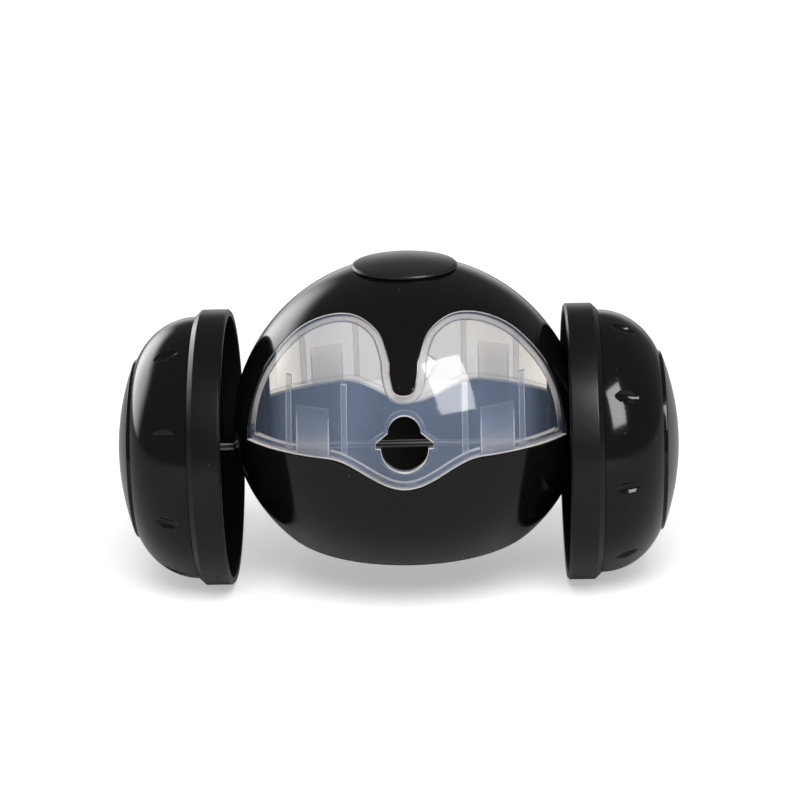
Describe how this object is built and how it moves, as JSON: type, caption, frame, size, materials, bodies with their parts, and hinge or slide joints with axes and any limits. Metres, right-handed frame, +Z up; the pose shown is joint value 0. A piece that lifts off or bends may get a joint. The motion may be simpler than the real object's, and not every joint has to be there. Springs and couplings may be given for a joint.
{
  "type": "treat dispensing car toy",
  "caption": "Weighted ball with milky windows, keyhole treat outlets and a filler cap, hung on a steel axle between cup-shaped rolling wheels.",
  "frame": {"origin": "on the floor, midway between the two wheels and under the axle", "axes": "+X along the axle to the right wheel, -Y out of the front window, +Z up"},
  "size_m": [0.2184, 0.1368, 0.1293],
  "materials": {
    "gloss_black": "polished black ABS",
    "satin_black": "fine satin black ABS",
    "tyre_black": "satin black soft rubber",
    "milky": "milky translucent polypropylene",
    "steel": "bright drawn steel",
    "zinc": "zinc plated steel"
  },
  "bodies": {
    "ball": {"lower_bowl": "gloss_black", "upper_shell": "gloss_black", "front_window": "milky", "back_window": "milky", "counterweight": "zinc", "weight_cover": "satin_black", "weight_cover_screw_1": "zinc", "weight_cover_screw_2": "zinc", "weight_cover_screw_3": "zinc", "shell_screw_1": "zinc", "shell_screw_2": "zinc", "shell_screw_3": "zinc", "shell_screw_4": "zinc"},
    "cap": {"filler_cap": "satin_black"},
    "axle_rod": {"axle": "steel", "left_washer": "steel", "right_washer": "steel", "left_push_nut": "steel", "right_push_nut": "steel"},
    "left_wheel": {"left_wheel_shell": "gloss_black", "left_tyre_band": "tyre_black", "left_hub_cap": "gloss_black"},
    "right_wheel": {"right_wheel_shell": "gloss_black", "right_tyre_band": "tyre_black", "right_hub_cap": "gloss_black"}
  },
  "joints": [
    {"name": "filler_cap_pull", "type": "slide", "parent": "ball", "child": "cap", "axis": [0, -0.061, 0.9981], "range_m": [0, 0.025]},
    {"name": "axle_side_play", "type": "slide", "parent": "ball", "child": "axle_rod", "axis": [1, 0, 0], "range_m": [0, 0.0078]},
    {"name": "left_wheel_spin", "type": "hinge", "parent": "axle_rod", "child": "left_wheel", "pos_m": [-0.09, 0, 0.054], "axis": [1, 0, 0], "continuous": true},
    {"name": "right_wheel_spin", "type": "hinge", "parent": "axle_rod", "child": "right_wheel", "pos_m": [0.09, 0, 0.054], "axis": [1, 0, 0], "continuous": true}
  ]
}
